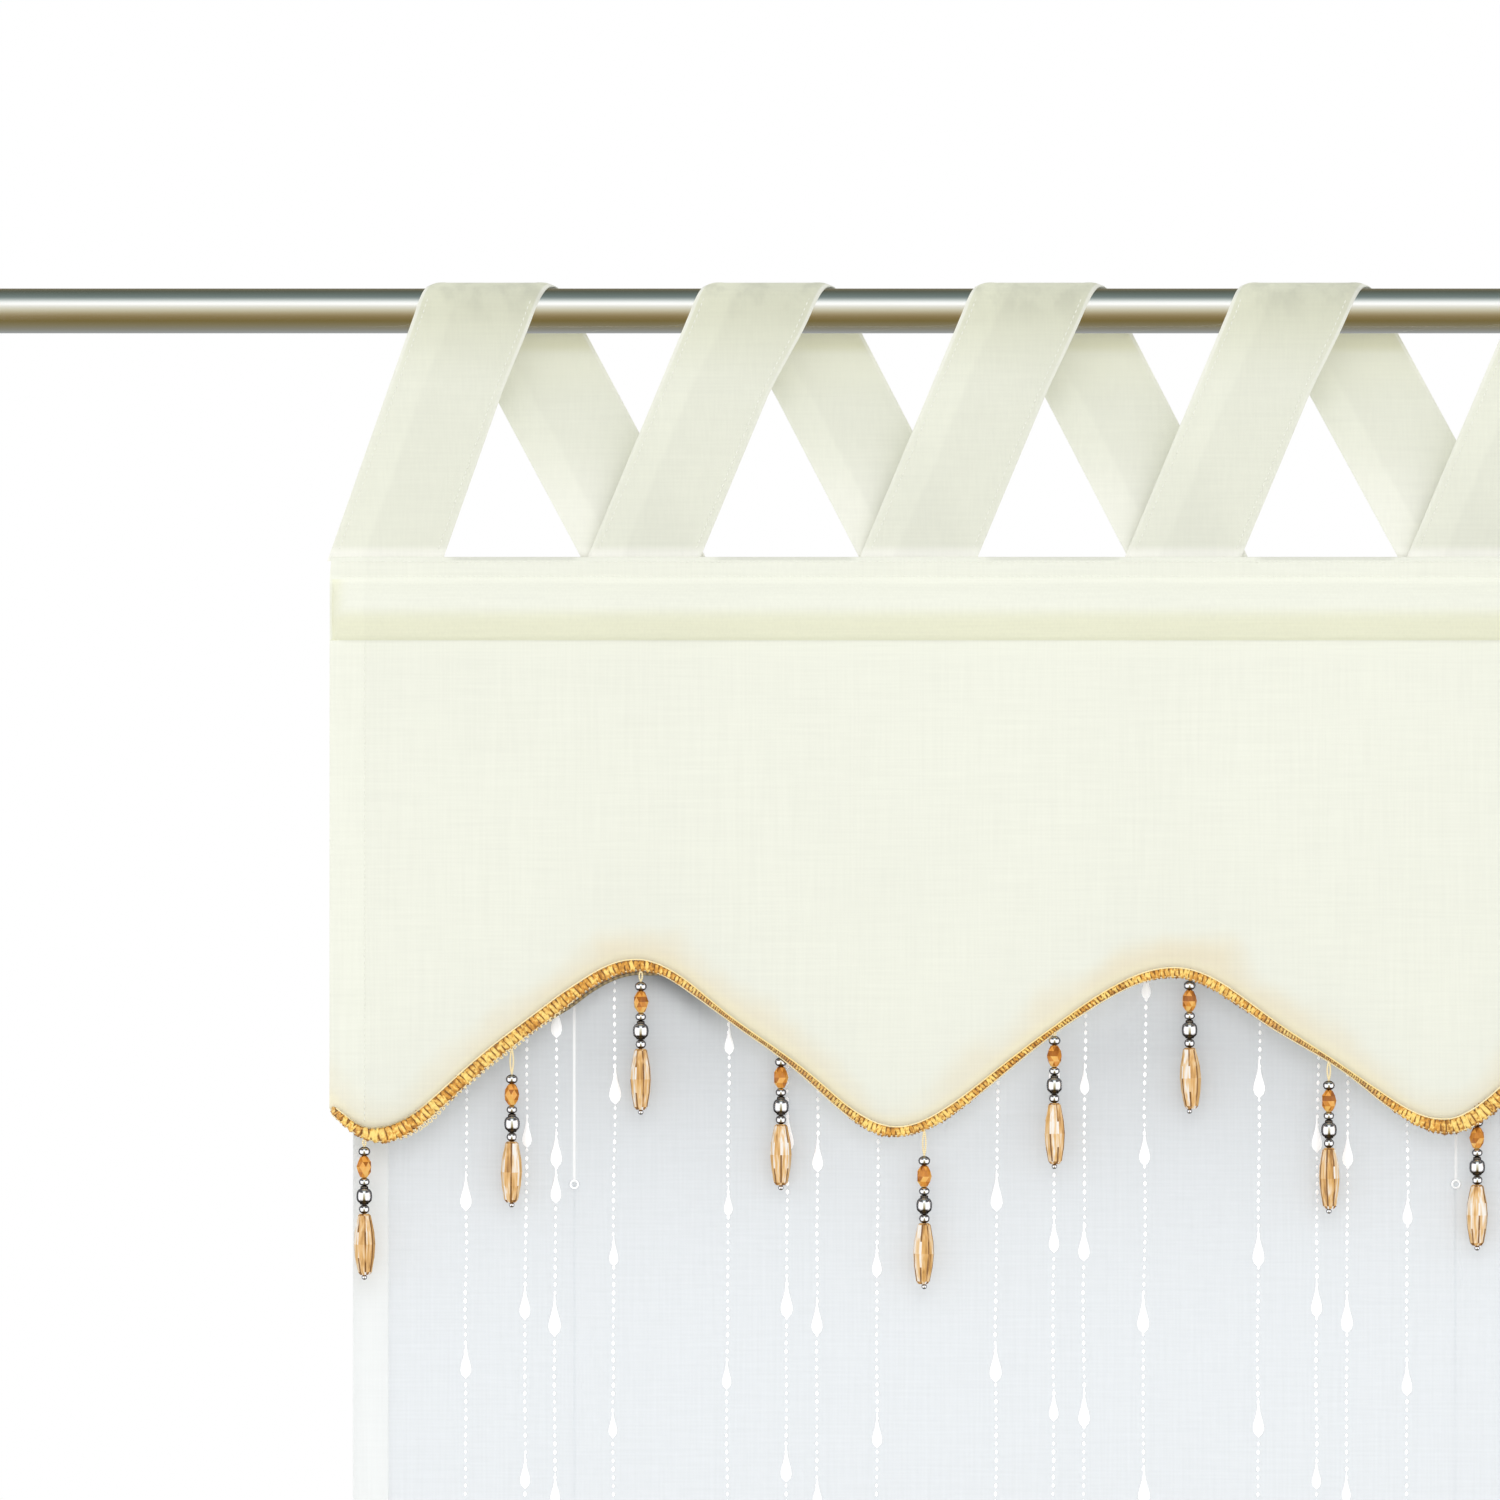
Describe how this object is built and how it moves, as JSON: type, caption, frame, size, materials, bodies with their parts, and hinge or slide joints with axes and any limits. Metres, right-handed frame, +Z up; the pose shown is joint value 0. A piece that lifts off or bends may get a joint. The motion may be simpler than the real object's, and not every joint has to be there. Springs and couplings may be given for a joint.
{
  "type": "roman shade on a rod",
  "caption": "Sheer shade with an ivory scalloped valance, gold braid and beaded pendants, hung by crossed cloth tabs from a polished rod.",
  "frame": {"origin": "on the rod's axis, halfway along the shade, where wall brackets would carry the rod", "axes": "+X along the rod to the right as seen from the room, +Y away from the room towards the window, +Z up; the valance faces -Y"},
  "size_m": [1.4, 0.0238, 1.3999],
  "materials": {
    "polished_metal": "polished nickel on steel tube",
    "ivory_cloth": "smooth plain-woven ivory cloth",
    "sheer_voile": "fine translucent voile with embroidered lines",
    "white_thread": "glossy white embroidery thread",
    "gold_braid": "gold gimp braid, satin yarn",
    "bead_silver": "bright faceted metal bead",
    "bead_amber": "clear amber faceted bead",
    "bead_peach": "clear peach and amber long faceted bead",
    "white_cord": "thin white cord and white rings"
  },
  "bodies": {
    "root": {"rod": "polished_metal", "valance": "ivory_cloth", "braid": "gold_braid", "sheer": "sheer_voile", "tab_1": "ivory_cloth", "tab_2": "ivory_cloth", "tab_3": "ivory_cloth", "tab_4": "ivory_cloth", "tab_5": "ivory_cloth", "tab_6": "ivory_cloth", "tab_7": "ivory_cloth", "tab_8": "ivory_cloth", "pendant_01": "bead_peach", "pendant_02": "bead_peach", "pendant_03": "bead_peach", "pendant_04": "bead_peach", "pendant_05": "bead_peach", "pendant_06": "bead_peach", "pendant_07": "bead_peach", "pendant_08": "bead_peach", "pendant_09": "bead_peach", "pendant_10": "bead_peach", "pendant_11": "bead_peach", "pendant_12": "bead_peach", "pendant_13": "bead_peach", "pendant_14": "bead_peach", "pendant_15": "bead_peach", "pendant_16": "bead_peach", "pendant_17": "bead_peach", "lift_cord_1": "white_cord", "lift_cord_2": "white_cord", "lift_cord_3": "white_cord", "ring_1_1": "white_cord", "ring_1_2": "white_cord", "ring_1_3": "white_cord", "ring_1_4": "white_cord", "ring_1_5": "white_cord", "ring_1_6": "white_cord", "ring_1_7": "white_cord", "ring_2_1": "white_cord", "ring_2_2": "white_cord", "ring_2_3": "white_cord", "ring_2_4": "white_cord", "ring_2_5": "white_cord", "ring_2_6": "white_cord", "ring_2_7": "white_cord", "ring_3_1": "white_cord", "ring_3_2": "white_cord", "ring_3_3": "white_cord", "ring_3_4": "white_cord", "ring_3_5": "white_cord", "ring_3_6": "white_cord", "ring_3_7": "white_cord"}
  },
  "joints": []
}
